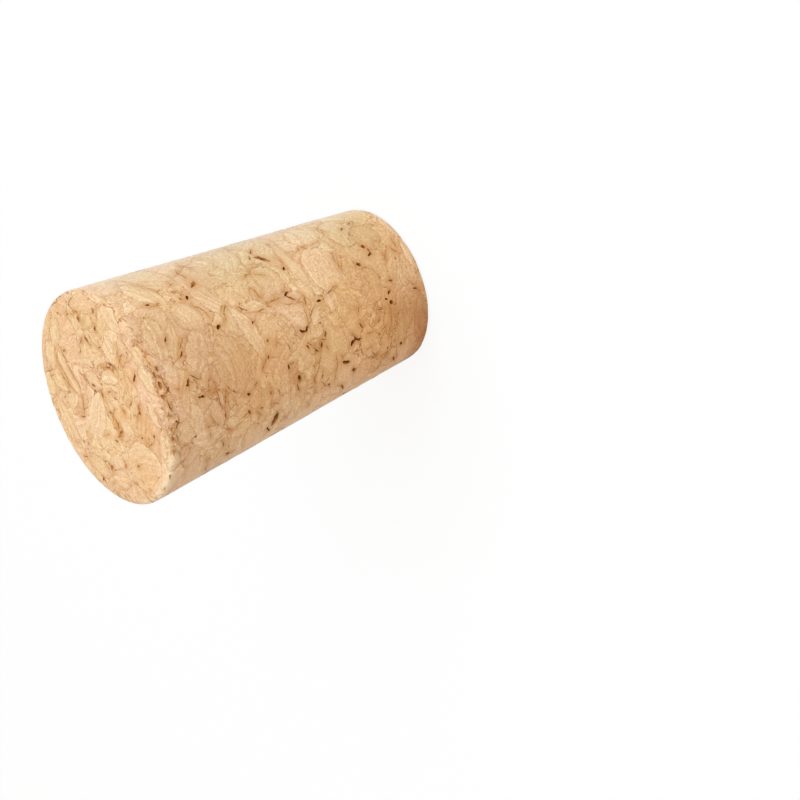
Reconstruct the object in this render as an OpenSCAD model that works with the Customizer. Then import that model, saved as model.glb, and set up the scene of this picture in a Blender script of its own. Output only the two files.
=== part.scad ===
// Tapered cork stopper, in millimetres.
//
// It is one piece of agglomerated cork: bark granules are pressed and bonded into a block,
// which is cut to a blank and ground to a cone. Where granules don't quite meet, the ground
// skin keeps open crevices and pores, and the sharp rims lose crumbs.
//
// The stopper stands on its small end, with the large end up, as it sits in a neck.
// Angles go round it from the front (-Y) towards +X.

/* [Body] */
// Diameter of the large end, before its edge is rounded
large_end_d = 22.5; // [20:0.5:30]
// Diameter of the small end, before its edge is rounded
small_end_d = 16.5; // [12:0.5:19]
// Height from the small end to the large end
length = 35; // [25:1:50]
// Radius of the rounding round each end
edge_r = 0.6; // [0.3:0.1:1.2]

/* [Grain] */
// Typical width of a granule, which spaces the pores on the back and the small end
granule_w = 4.5; // [3:0.5:7]
// Longest crevice on the back and the small end
back_crevice_l = 2.2; // [1:0.1:3]
// Widest opening of a crevice there
back_crevice_w = 0.45; // [0.25:0.05:0.6]
// Deepest crevice there
back_crevice_deep = 0.7; // [0.3:0.1:1.2]

/* [Rims] */
// Typical length of a crumb lost from a rim
crumb_l = 1.2; // [0.6:0.1:1.8]
// Width of the place that a lost crumb leaves
crumb_w = 0.5; // [0.3:0.05:0.7]
// Depth of that place
crumb_deep = 0.22; // [0.1:0.02:0.4]
// Distance between lost crumbs along a rim
crumb_step = 3.2; // [2.5:0.1:6]

/* [Hidden] */
$fn = 48;
large_r = large_end_d / 2;
small_r = small_end_d / 2;
// Angle between the wall and the axis
taper = atan((large_r - small_r) / length);
// Straight steps in each rounded edge
EDGE_STEPS = 6;
// Steps whose multiples spread evenly over a length and over an area
GOLDEN = 0.618;
PLANE_STEP = [0.7549, 0.5698];
// Stretch round the back of the wall where crevices follow a rule
BACK_FROM = 72;
BACK_TO = 286;

// Crevices on the front of the wall, between granules that don't quite meet:
// [share of the height, angle, turn from level, long, wide, deep]
WALL_CREVICES = [
    // Near the large end
    [0.975, -8, -35, 0.9, 0.22, 0.35],
    [0.980, 4, 10, 0.8, 0.20, 0.30],
    [0.970, -25, 30, 0.7, 0.22, 0.30],
    [0.905, -9, -30, 1.0, 0.30, 0.50],
    [0.915, 15.5, -42, 1.0, 0.15, 0.35],
    [0.890, 5.5, -42, 1.0, 0.22, 0.40],
    [0.890, 38, 55, 0.6, 0.20, 0.35],
    [0.875, -18.5, 75, 0.9, 0.25, 0.45],
    [0.805, -34.5, 0, 0.4, 0.20, 0.30],
    [0.775, -65, 50, 1.1, 0.32, 0.50],
    [0.790, 35, 0, 0.4, 0.20, 0.30],
    [0.765, 35, -30, 0.6, 0.30, 0.50],
    [0.740, 12, -60, 0.8, 0.32, 0.55],
    [0.715, 42.5, -42, 1.4, 0.50, 0.30],
    [0.715, -39.5, 35, 0.6, 0.22, 0.40],
    [0.715, -29, 40, 0.5, 0.22, 0.40],
    [0.670, -41.5, 65, 0.6, 0.14, 0.30],
    // The widest crevice, in two lobes
    [0.625, -63, 28, 1.4, 0.30, 0.60],
    [0.607, -56, -10, 2.4, 0.75, 0.85],
    // Round the middle
    [0.640, 17, 30, 0.5, 0.15, 0.30],
    [0.630, 7.5, -30, 0.4, 0.15, 0.30],
    [0.633, -35, -12, 0.8, 0.15, 0.30],
    [0.620, -14, -30, 0.5, 0.15, 0.30],
    [0.605, -5, -50, 0.5, 0.18, 0.35],
    [0.557, -24, 20, 0.4, 0.26, 0.35],
    [0.530, -39.5, 4, 1.4, 0.16, 0.40],
    [0.523, -34, 20, 0.9, 0.42, 0.55],
    [0.493, 48, -30, 0.9, 0.15, 0.35],
    [0.467, 55, -40, 1.1, 0.18, 0.40],
    [0.464, 45, 39, 1.5, 0.42, 0.60],
    [0.482, -8.5, 62, 0.9, 0.30, 0.55],
    [0.464, -8.5, -55, 0.8, 0.30, 0.50],
    [0.473, 12.5, 50, 1.4, 0.24, 0.50],
    [0.478, 16, -67, 1.0, 0.22, 0.50],
    [0.477, -18.5, 35, 0.7, 0.20, 0.35],
    [0.450, -23, 60, 0.6, 0.20, 0.35],
    [0.427, -20.5, -5, 0.8, 0.22, 0.40],
    [0.406, -15.5, -20, 0.6, 0.22, 0.40],
    [0.431, 32.5, -35, 0.6, 0.25, 0.45],
    [0.406, -51, 40, 0.6, 0.20, 0.40],
    [0.386, 5, 80, 0.6, 0.28, 0.50],
    [0.343, -40, 60, 1.3, 0.38, 0.55],
    [0.340, -62, 25, 1.3, 0.26, 0.45],
    // Below the middle
    [0.309, -49.5, 25, 0.7, 0.34, 0.50],
    [0.314, -29, -60, 0.7, 0.40, 0.60],
    [0.303, -26.5, 35, 0.9, 0.18, 0.40],
    [0.291, -28.5, 70, 0.8, 0.32, 0.55],
    [0.271, -20.5, 35, 0.8, 0.22, 0.40],
    [0.199, 17, 0, 0.4, 0.30, 0.45],
    [0.189, -14.5, 75, 1.0, 0.12, 0.30],
    [0.160, -11, 60, 0.5, 0.25, 0.40],
    [0.144, -14, 20, 0.5, 0.38, 0.50],
    [0.144, -7.5, -60, 0.5, 0.28, 0.40],
    [0.147, 28.5, 20, 0.5, 0.42, 0.55],
    [0.140, 24, -15, 0.8, 0.16, 0.35],
    [0.146, 21, -50, 0.7, 0.30, 0.45],
    [0.157, 49, -38, 0.7, 0.16, 0.35],
    [0.134, -62, 31, 1.2, 0.24, 0.45],
    [0.123, -0.5, 68, 0.7, 0.14, 0.30],
    [0.117, -48.5, 30, 0.6, 0.26, 0.45],
    [0.060, 18, 25, 0.9, 0.20, 0.35],
    [0.047, -12.5, 70, 0.8, 0.16, 0.35],
];

// Crevices on the large end, seen from above with the front at the bottom:
// [share of the radius to the right, share of the radius up, turn, long, wide, deep]
LARGE_END_CREVICES = [
    [-0.585, 0.375, -65, 0.9, 0.34, 0.50],
    [-0.540, 0.395, 55, 0.6, 0.20, 0.35],
    [-0.510, 0.445, 75, 0.5, 0.20, 0.35],
    [-0.070, 0.500, 80, 1.1, 0.20, 0.40],
    [-0.375, 0.095, 60, 0.5, 0.30, 0.35],
    [-0.325, -0.030, -65, 1.3, 0.55, 0.30],
    [-0.222, -0.045, 15, 0.8, 0.20, 0.40],
    [-0.129, 0.015, 70, 0.6, 0.20, 0.30],
    [-0.150, -0.235, 25, 1.0, 0.18, 0.35],
    [0.150, 0.085, 80, 0.5, 0.25, 0.35],
    [0.220, 0.160, 45, 0.5, 0.20, 0.35],
    [0.530, -0.125, 12, 1.1, 0.30, 0.50],
    [0.725, -0.125, 0, 0.5, 0.30, 0.40],
    [0.780, -0.100, 15, 0.8, 0.13, 0.30],
    [0.235, -0.285, 75, 0.9, 0.22, 0.40],
    [0.595, -0.340, -40, 0.6, 0.30, 0.35],
    [0.745, -0.425, -30, 0.6, 0.30, 0.35],
    [-0.435, -0.355, -75, 0.5, 0.20, 0.35],
    [-0.460, -0.560, -60, 0.6, 0.25, 0.40],
    [-0.230, -0.490, 75, 0.6, 0.25, 0.35],
    [-0.185, -0.505, -15, 0.8, 0.20, 0.35],
    [0.065, -0.655, -47, 1.5, 0.32, 0.50],
    [0.855, 0.185, 60, 0.5, 0.20, 0.35],
    [0.890, 0.320, 70, 0.6, 0.15, 0.30],
    [0.540, 0.350, 70, 0.5, 0.20, 0.35],
    [-0.640, 0.610, -60, 0.5, 0.25, 0.40],
    [-0.650, -0.100, -80, 0.5, 0.20, 0.35],
    [-0.610, 0.115, -65, 0.7, 0.12, 0.30],
    [0.040, -0.140, -60, 0.5, 0.16, 0.30],
];

// Crumbs lost from the front of each rim, in multiples of the typical one:
// [angle, long, wide, deep]
LARGE_RIM_CRUMBS = [
    [7, 1.1, 0.4, 0.8],
    [1.5, 0.8, 0.8, 1.4],
    [-4, 0.9, 1.1, 1.6],
    [-10.5, 0.7, 0.9, 1.8],
    [-15, 0.6, 0.5, 1.0],
    [-21, 1.4, 0.8, 1.7],
    [-28, 0.8, 0.7, 1.2],
    [-34, 0.9, 1.0, 1.5],
    [-41.5, 0.8, 0.7, 1.2],
    [-50, 0.6, 0.6, 0.8],
    [-58, 0.8, 0.5, 0.8],
];
SMALL_RIM_CRUMBS = [
    [-70, 0.7, 0.6, 0.8],
    [-37, 1.0, 1.0, 1.1],
    [3, 0.7, 0.5, 0.6],
    [38, 0.5, 0.5, 0.6],
];
// The rest of each rim loses crumbs at even steps, over this stretch
RULED_RIM_FROM = [16, 60];
RULED_RIM_TO = [294, 280];

// Part of x after the whole number
function fraction(x) = x - floor(x);
// Radius of the wall at a share of its height
function wall_r(share) = small_r + (large_r - small_r) * share;
// Points along the rounding of an edge about [x, z]
function edge_arc(x, z, from, to) = [
    for (i = [0:EDGE_STEPS])
        let (a = from + (to - from) * i / EDGE_STEPS)
            [x + edge_r * cos(a), z + edge_r * sin(a)]
];

// A cutter for one open crevice: a lens standing on its edge. It opens long by wide at the
// surface, z = 0, along x, and its round lower edge reaches deep below it.
module crevice(long, wide, deep) {
    lens_r = (deep^2 + (long / 2)^2) / (2 * deep);
    side = (long^2 - wide^2) / (4 * wide);
    sphere_r = norm([side, lens_r]);
    translate([0, 0, lens_r - deep])
        intersection() {
            translate([0, side, 0]) sphere(sphere_r);
            translate([0, -side, 0]) sphere(sphere_r);
        }
}

// Places on the surface: x is level, or along the rim, and z points out of the cork
module on_wall(share, angle, turn) {
    rotate([0, 0, angle])
        translate([0, -wall_r(share), share * length])
            rotate([90 + taper, 0, 0])
                rotate([0, 0, turn])
                    children();
}
module on_large_end(x_share, y_share, turn) {
    translate([x_share * large_r, y_share * large_r, length])
        rotate([0, 0, turn])
            children();
}
module on_small_end(x_share, y_share, turn) {
    translate([x_share * small_r, y_share * small_r, 0])
        rotate([180, 0, turn])
            children();
}
// The middle of a rounded rim at height z, at_r from the axis, where up is 1 or -1
module on_rim(at_r, z, up, angle) {
    inset = edge_r * (1 - cos(45));
    rotate([0, 0, angle])
        translate([0, inset - at_r, z - up * inset])
            rotate([90 - up * 45, 0, 0])
                children();
}

// Half outline of the ground cone, with a rounding tangent to the wall at each end
module half_outline() {
    small_arc_x = small_r - edge_r * (1 / cos(taper) - tan(taper));
    large_arc_x = large_r - edge_r * (1 / cos(taper) + tan(taper));
    polygon(concat(
        [[0, 0]],
        edge_arc(small_arc_x, edge_r, -90, -taper),
        edge_arc(large_arc_x, length - edge_r, -taper, 90),
        [[0, length]]
    ));
}

module wall_crevices() {
    for (row = WALL_CREVICES)
        on_wall(row[0], row[1], row[2])
            crevice(row[3], row[4], row[5]);
}

module large_end_crevices() {
    for (row = LARGE_END_CREVICES)
        on_large_end(row[0], row[1], row[2])
            crevice(row[3], row[4], row[5]);
}

// One of the crevices that follow a rule. Short ones are common and long ones rare, and every
// third one forks, where three granules meet.
module ruled_crevice(i) {
    wide = back_crevice_w * (0.4 + 0.6 * fraction(i * PLANE_STEP[0]));
    deep = back_crevice_deep * (0.5 + 0.5 * fraction(i * PLANE_STEP[1]));
    long = max(back_crevice_l * (0.25 + 0.75 * fraction(i * GOLDEN)^2), 1.3 * wide);
    crevice(long, wide, deep);
    if (i % 3 == 0)
        translate([long / 3, 0, 0])
            rotate([0, 0, 65])
                translate([long / 4, 0, 0])
                    crevice(0.7 * long, 0.6 * wide, 0.7 * deep);
}

module back_crevices() {
    mean_r = (large_r + small_r) / 2;
    area = length * mean_r * (BACK_TO - BACK_FROM) * PI / 180;
    for (i = [1:round(area / granule_w^2)])
        on_wall(
            0.04 + 0.92 * fraction(i * PLANE_STEP[0]),
            BACK_FROM + (BACK_TO - BACK_FROM) * fraction(i * PLANE_STEP[1]),
            180 * fraction(i * GOLDEN)
        )
            ruled_crevice(i);
}

module small_end_crevices() {
    count = round(PI * (small_r / granule_w)^2);
    for (i = [1:count]) {
        out = 0.85 * sqrt((i - 0.5) / count);
        angle = 360 * i * GOLDEN;
        on_small_end(out * cos(angle), out * sin(angle), 2 * angle)
            ruled_crevice(i);
    }
}

module crumb(long, wide, deep) {
    crevice(long * crumb_l, wide * crumb_w, deep * crumb_deep);
}

// Crumbs lost from one rim: those listed, and then even ones from an angle to another
module rim_crumbs(at_r, z, up, rows, from, to) {
    for (row = rows)
        on_rim(at_r, z, up, row[0])
            crumb(row[1], row[2], row[3]);
    count = floor((to - from) * PI / 180 * at_r / crumb_step);
    for (i = [0:count])
        on_rim(at_r, z, up, from + (to - from) * (i + 0.4 * fraction(i * GOLDEN)) / (count + 0.4))
            crumb(0.5 + 0.6 * fraction(i * GOLDEN), 0.7, 0.6 + 0.6 * fraction(i * PLANE_STEP[0]));
}

module stopper() {
    color("#deb688")
        difference() {
            rotate_extrude($fn = 96) half_outline();
            wall_crevices();
            large_end_crevices();
            back_crevices();
            small_end_crevices();
            rim_crumbs(large_r, length, 1, LARGE_RIM_CRUMBS, RULED_RIM_FROM[0], RULED_RIM_TO[0]);
            rim_crumbs(small_r, 0, -1, SMALL_RIM_CRUMBS, RULED_RIM_FROM[1], RULED_RIM_TO[1]);
        }
}

stopper();
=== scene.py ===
"""Looks of a tapered stopper of agglomerated cork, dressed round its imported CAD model."""

import math

import bpy
import numpy as np
from mathutils import Matrix, Quaternion, Vector


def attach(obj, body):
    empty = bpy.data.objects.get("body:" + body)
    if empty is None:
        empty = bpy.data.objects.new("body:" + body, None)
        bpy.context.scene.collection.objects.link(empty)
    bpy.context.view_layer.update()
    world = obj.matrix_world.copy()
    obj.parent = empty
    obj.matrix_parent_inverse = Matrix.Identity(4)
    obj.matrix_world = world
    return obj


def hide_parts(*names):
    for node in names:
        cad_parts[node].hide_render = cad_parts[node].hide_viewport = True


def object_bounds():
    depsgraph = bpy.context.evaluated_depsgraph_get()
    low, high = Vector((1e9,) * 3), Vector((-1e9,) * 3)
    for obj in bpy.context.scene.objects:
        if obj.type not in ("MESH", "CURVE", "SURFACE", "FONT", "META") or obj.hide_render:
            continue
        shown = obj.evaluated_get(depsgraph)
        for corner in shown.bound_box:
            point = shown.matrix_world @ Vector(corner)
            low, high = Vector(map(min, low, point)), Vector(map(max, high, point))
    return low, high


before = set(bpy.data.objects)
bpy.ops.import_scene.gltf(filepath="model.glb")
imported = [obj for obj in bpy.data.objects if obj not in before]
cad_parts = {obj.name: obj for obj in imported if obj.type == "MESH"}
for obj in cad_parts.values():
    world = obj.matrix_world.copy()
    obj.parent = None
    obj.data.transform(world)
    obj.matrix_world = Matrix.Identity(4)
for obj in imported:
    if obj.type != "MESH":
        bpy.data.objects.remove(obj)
CAD_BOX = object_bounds()

bl_info = {
    "name": "Cork stopper",
    "version": (1, 0, 0),
    "blender": (4, 5, 0),
    "location": "3D View > Sidebar > Cork",
    "description": "Makes a tapered stopper of agglomerated cork and a plain studio for it",
    "category": "Object",
}

MM = 0.001
NODE = "stopper"
PIECE = "cork_stopper"


def linear(colour):
    """An sRGB hex colour as linear red, green and blue, with alpha 1."""
    parts = [int(colour[i : i + 2], 16) / 255 for i in (1, 3, 5)]
    return [p / 12.92 if p <= 0.04045 else ((p + 0.055) / 1.055) ** 2.4 for p in parts] + [1.0]


def wall_line():
    """The CAD wall's radius as a line over its height: its slope, and its radius at height 0."""
    corners = np.array([v.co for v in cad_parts[NODE].data.vertices])
    height, out = corners[:, 2], np.hypot(corners[:, 0], corners[:, 1])
    top = CAD_BOX[1].z
    levels = np.linspace(0.1 * top, 0.9 * top, 17)
    reach = [out[abs(height - level) < 0.02 * top] for level in levels]
    slope, _ = np.polyfit(levels, [r.max() for r in reach], 1)
    return slope, (out - slope * height)[abs(height / top - 0.5) < 0.4].max()


LENGTH = CAD_BOX[1].z
SLOPE, SMALL_R = wall_line()
LARGE_R = SMALL_R + SLOPE * LENGTH
TAPER = math.atan(SLOPE)
# The rounding of the CAD model's edges
EDGE_R = 0.6 * MM
# Patterns are in mm: half the length, and how far out and up, added, the large end's edge lies
HALF = LENGTH / 2 / MM
RIM = (LENGTH + LARGE_R) / MM


def size_property(name, description, size):
    """A size that someone would change, in metres."""
    return bpy.props.FloatProperty(
        name=name, description=description, default=size, subtype="DISTANCE"
    )


def colour_property(name, description, colour):
    """A colour that someone would change, with its sRGB default."""
    return bpy.props.FloatVectorProperty(
        name=name,
        description=description,
        default=linear(colour),
        subtype="COLOR",
        size=4,
        min=0,
        max=1,
    )


class CorkSizes(bpy.types.PropertyGroup):
    """Sizes of the stopper's surface that someone would change."""

    edge_r: size_property("Edge rounding", "Radius of the rounding round each end", EDGE_R)
    grid: size_property(
        "Grid", "Side of the mesh's squares, which sets the finest relief", 0.22 * MM
    )
    relief: size_property(
        "Granule relief", "How far granules stand above or below one another", 0.05 * MM
    )


class CorkColours(bpy.types.PropertyGroup):
    """Colours of the stopper that someone would change."""

    pink: colour_property("Pink cork", "Middle tone of the pinkest granules", "#e5bb94")
    yellow: colour_property("Yellow cork", "Middle tone of the yellowest granules", "#e4c18f")
    # Pale dust, and a painted highlight on the rounding of the large end's edge
    dust_and_highlight: colour_property("Dust and highlight", "Pale corner of the large end", "#f2dab6")
    mottle: colour_property("Mottle", "Redder patches a few millimetres across", "#d29a62")
    rust: colour_property("Rust", "Stain round crevices, in pits and on crumbs", "#bf7e38")
    hairline: colour_property("Hairline", "Lines between granules", "#9c5f28")
    # Partly painted shade: the dark of crevice bottoms, painted pits and painted open cracks
    crevice: colour_property("Crevice", "Bottom of the deepest crevices", "#7a4316")


# The kinds of node that are used most. A map range takes a value, the ends of the range it comes
# from and the ends of the range it goes to, and those are 0 and 1 unless they are given.
MATH = "ShaderNodeMath"
VECTOR_MATH = "ShaderNodeVectorMath"
MAP_RANGE = "ShaderNodeMapRange"
MIX = "ShaderNodeMix"
SEPARATE = "ShaderNodeSeparateXYZ"
NOISE = "ShaderNodeTexNoise"
VORONOI = "ShaderNodeTexVoronoi"


def add(tree, kind, inputs=(), operation=None, **settings):
    """Adds a node with its settings, and fills its inputs, in order or by name.

    An input takes a value, a socket, or a node, which stands for the first output it has in use.
    """
    made = tree.nodes.new(kind)
    if operation:
        made.operation = operation
    for name, value in settings.items():
        setattr(made, name, value)
    for name, value in inputs.items() if isinstance(inputs, dict) else enumerate(inputs):
        if isinstance(value, bpy.types.Node):
            value = next(output for output in value.outputs if output.enabled)
        if isinstance(value, bpy.types.NodeSocket):
            tree.links.new(value, made.inputs[name])
        else:
            made.inputs[name].default_value = value
    return made


def empty_tree(owner):
    """The node tree of a new material or world, with nothing in it."""
    owner.use_nodes = True
    owner.node_tree.nodes.clear()
    return owner.node_tree


def modifier_tree(name):
    """Geometry nodes for a modifier: the tree, its geometry, and the place of points in mm."""
    tree = bpy.data.node_groups.new(name, "GeometryNodeTree")
    for way in ("INPUT", "OUTPUT"):
        tree.interface.new_socket("Geometry", in_out=way, socket_type="NodeSocketGeometry")
    position = add(tree, "GeometryNodeInputPosition")
    place = add(tree, VECTOR_MATH, {0: position, "Scale": 1 / MM}, "SCALE")
    return tree, add(tree, "NodeGroupInput"), place


def select_only(piece):
    """Selects one object and makes it active, in object mode."""
    bpy.ops.object.select_all(action="DESELECT")
    piece.select_set(True)
    bpy.context.view_layer.objects.active = piece


def apply_modifier(piece, kind, name, **settings):
    """Adds a modifier to a piece with its settings, and applies it."""
    select_only(piece)
    modifier = piece.modifiers.new(name, kind)
    for setting, value in settings.items():
        setattr(modifier, setting, value)
    bpy.ops.object.modifier_apply(modifier=modifier.name)


# The granules, from the largest to fines: their width in mm, how much longer than wide they are,
# and the share of the next larger ones that is made up of them
GRANULES = ((5.2, 1.2, 1.0), (2.3, 2.6, 0.5), (1.0, 2.2, 0.16))

# What bends and tears shapes: the scale per mm, the detail and the reach in mm of each noise.
# Pressing has bent the granules, and the chosen ones less. Stains and patches of painted shade run,
# the flakes of the edge are frayed, crevices are torn and cracks are bent.
PRESSED = ((0.17, 1.0, 4.0), (0.55, 1.0, 1.3), (2.5, 2.0, 0.1))
CHOSEN_PRESSED = ((0.5, 1.0, 0.8), (1.4, 1.0, 0.5), (3.0, 1.0, 0.15))
RUN = ((0.4, 2.0, 3.0),)
FRAY = ((0.6, 1.0, 1.2), (2.5, 1.0, 0.4))
TEAR = ((0.9, 1.0, 0.45), (3.0, 2.0, 0.36))
BEND = ((0.6, 1.0, 1.0), (2.4, 1.0, 0.45))

# Noise in the cork, by how many of its grains there are to the mm: the lumps of sawn and crumbled
# cork, the dapples of its colour, its finest grain, its reddish mottle, the patches and the wider
# areas where seams show, and the broad drift of its hue
LUMPS = {"Scale": 1.9, "Detail": 3.0, "Roughness": 0.65}
DAPPLES = {"Scale": 1.9, "Detail": 4.0, "Roughness": 0.65}
FINE = {"Scale": 5.0, "Detail": 2.0, "Roughness": 0.6}
MOTTLE = {"Scale": 0.5, "Detail": 5.0, "Roughness": 0.6}
PATCHES = {"Scale": 1.1, "Detail": 3.0}
AREAS = {"Scale": 0.25, "Detail": 1.0}
DRIFT = {"Scale": 0.14, "Detail": 1.0}

# How much flatter than wide pressing has made the granules, in x, y and z
FLATTENED = (1.0, 1.0, 1.35)

# A distance in mm that is farther than any seam counts
FAR = 9.0

# How far a smaller granule may be turned in a larger one, in radians about each axis
TURN = 6.0

# How far from its granule the centre of the growth rings may lie, in mm each way, how many rings
# there are to the mm, and how many of them to each dark one
RING_CENTRE = 9.0
RINGS = 2.1
DARK_RINGS = 0.55

# How deep a chosen granule is each way, in mm
CHOSEN_DEPTH = 2.5


def warped(tree, place, warps):
    """A place moved by noise of several sizes, each with its scale, its detail and its reach."""
    moved = place
    for scale, detail, reach in warps:
        noise = add(tree, NOISE, {"Vector": place, "Scale": scale, "Detail": detail})
        bend = add(tree, VECTOR_MATH, (noise.outputs["Color"], (0.5, 0.5, 0.5)), "SUBTRACT")
        bend = add(tree, VECTOR_MATH, {0: bend, "Scale": reach}, "SCALE")
        moved = add(tree, VECTOR_MATH, (moved, bend), "ADD")
    return moved


def granules(tree, place, laid):
    """Granules of bark in a block of cork, at a place in mm, with chosen ones laid over them.

    Returns the bent place, the tone (lightness, chance and hue), the distance from the granule's
    edge in mm, and the distance across its growth rings in mm.
    """
    bent = warped(tree, place, PRESSED)
    flat = add(tree, VECTOR_MATH, (bent, FLATTENED), "MULTIPLY")
    tone, edge, here, lying, centres = (0.5, 0.5, 0.5), FAR, 1.0, flat, []
    for width, length, share in GRANULES:
        if share < 1:
            # Smaller ones lie a different way in each larger one, and make up some of those.
            turn = add(tree, VECTOR_MATH, {0: cell.outputs["Color"], "Scale": TURN}, "SCALE")
            lying = {"Vector": flat, "Rotation": turn}
            lying = add(tree, "ShaderNodeVectorRotate", lying, rotation_type="EULER_XYZ")
            hue = add(tree, SEPARATE, (tone,)).outputs["Z"]
            here = add(tree, MATH, (hue, 1 - share), "GREATER_THAN")
        splinters = add(tree, VECTOR_MATH, (lying, (1 / length, 1.0, 1.0)), "MULTIPLY")
        scaled = {"Vector": splinters, "Scale": 1 / width}
        cell = add(tree, VORONOI, scaled)
        centres.append(cell.outputs["Position"])
        seam = add(tree, VORONOI, scaled, feature="DISTANCE_TO_EDGE")
        tone = {"Factor": here, "A": tone, "B": cell.outputs["Color"]}
        tone = add(tree, MIX, tone, data_type="VECTOR")
        gap = add(tree, MATH, (here, -FAR, FAR), "MULTIPLY_ADD")
        gap = add(tree, MATH, (seam, width, gap), "MULTIPLY_ADD")
        edge = add(tree, MATH, (gap, edge), "MINIMUM")
    # Growth rings: shells round a point a few millimetres off each granule.
    aside = (tone, (2 * RING_CENTRE,) * 3, (-RING_CENTRE,) * 3)
    aside = add(tree, VECTOR_MATH, aside, "MULTIPLY_ADD")
    heart = add(tree, VECTOR_MATH, (centres[0], aside), "ADD")
    ring = add(tree, VECTOR_MATH, (flat, heart), "DISTANCE")
    # The chosen granules lie over these.
    inside = add(tree, MATH, (laid["gap"], 0.0), "GREATER_THAN")
    tone, ring = (
        add(tree, MIX, {"Factor": inside, "A": old, "B": laid[name]}, data_type=kind)
        for old, name, kind in ((tone, "tone", "VECTOR"), (ring, "ring", "FLOAT"))
    )
    away = add(tree, MATH, (laid["gap"],), "ABSOLUTE")
    clear = add(tree, MATH, (inside, FAR, edge), "MULTIPLY_ADD")
    edge = add(tree, MATH, (clear, away), "MINIMUM")
    return {"flat": flat, "tone": tone, "edge": edge, "ring": ring}


def chosen_granules(tree, place):
    """The granules at chosen places, in geometry nodes. Returns their sockets."""
    near = warped(tree, place, CHOSEN_PRESSED)
    group = chosen_granule()
    laid = {"Gap": -FAR, "Tone": (0.5, 0.5, 0.5), "Ring": 0.0}
    for row in chosen_places():
        here = add(tree, "GeometryNodeGroup", {"Place": near, **laid, **row}, node_tree=group)
        laid = {name: here.outputs[name] for name in laid}
    return {name.lower(): socket for name, socket in laid.items()}


def chosen_granule():
    """A node group that lays one granule at a chosen place over the chosen ones so far."""
    name = "Chosen granule"
    if name in bpy.data.node_groups:
        return bpy.data.node_groups[name]
    tree = bpy.data.node_groups.new(name, "GeometryNodeTree")
    for way, kind, names in (
        ("INPUT", "Vector", ("Place", "Tone", "Centre", "Along", "Across", "Out", "New Tone")),
        ("INPUT", "Float", ("Gap", "Ring", "Width", "Bend", "Point")),
        ("OUTPUT", "Float", ("Gap",)),
        ("OUTPUT", "Vector", ("Tone",)),
        ("OUTPUT", "Float", ("Ring",)),
    ):
        for socket in names:
            tree.interface.new_socket(socket, in_out=way, socket_type="NodeSocket" + kind)
    start = add(tree, "NodeGroupInput").outputs
    aside = add(tree, VECTOR_MATH, (start["Place"], start["Centre"]), "SUBTRACT")
    # The place in half lengths, half widths and half depths of the granule
    x, y, deep = (
        add(tree, VECTOR_MATH, (aside, start[axis]), "DOT_PRODUCT")
        for axis in ("Along", "Across", "Out")
    )
    square = add(tree, MATH, (x, x), "MULTIPLY")
    straight = add(tree, MATH, (square, start["Bend"], y), "MULTIPLY_ADD")
    sharp = add(tree, MATH, (square, start["Point"], 1.0), "MULTIPLY_ADD")
    pointed = add(tree, MATH, (straight, sharp), "MULTIPLY")
    inner = add(tree, "ShaderNodeCombineXYZ", (x, pointed, deep))
    out = add(tree, VECTOR_MATH, (inner,), "LENGTH")
    short = add(tree, MATH, (1.0, out), "SUBTRACT")
    gap = add(tree, MATH, (short, start["Width"]), "MULTIPLY")
    # It hides what it covers, and outside them all the nearest one counts.
    limit = add(tree, MATH, (start["Gap"], 0.0), "MINIMUM")
    over = add(tree, MATH, (gap, limit), "GREATER_THAN")
    below = add(tree, MATH, (gap, -1.0), "MULTIPLY")
    below = add(tree, MATH, (start["Gap"], below), "MINIMUM")
    ring = add(tree, MATH, (straight, start["Width"]), "MULTIPLY")
    results = [
        add(tree, MIX, {"Factor": over, "A": old, "B": new}, data_type=kind)
        for kind, old, new in (
            ("FLOAT", below, gap),
            ("VECTOR", start["Tone"], start["New Tone"]),
            ("FLOAT", start["Ring"], ring),
        )
    ]
    add(tree, "NodeGroupOutput", results)
    return tree


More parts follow.
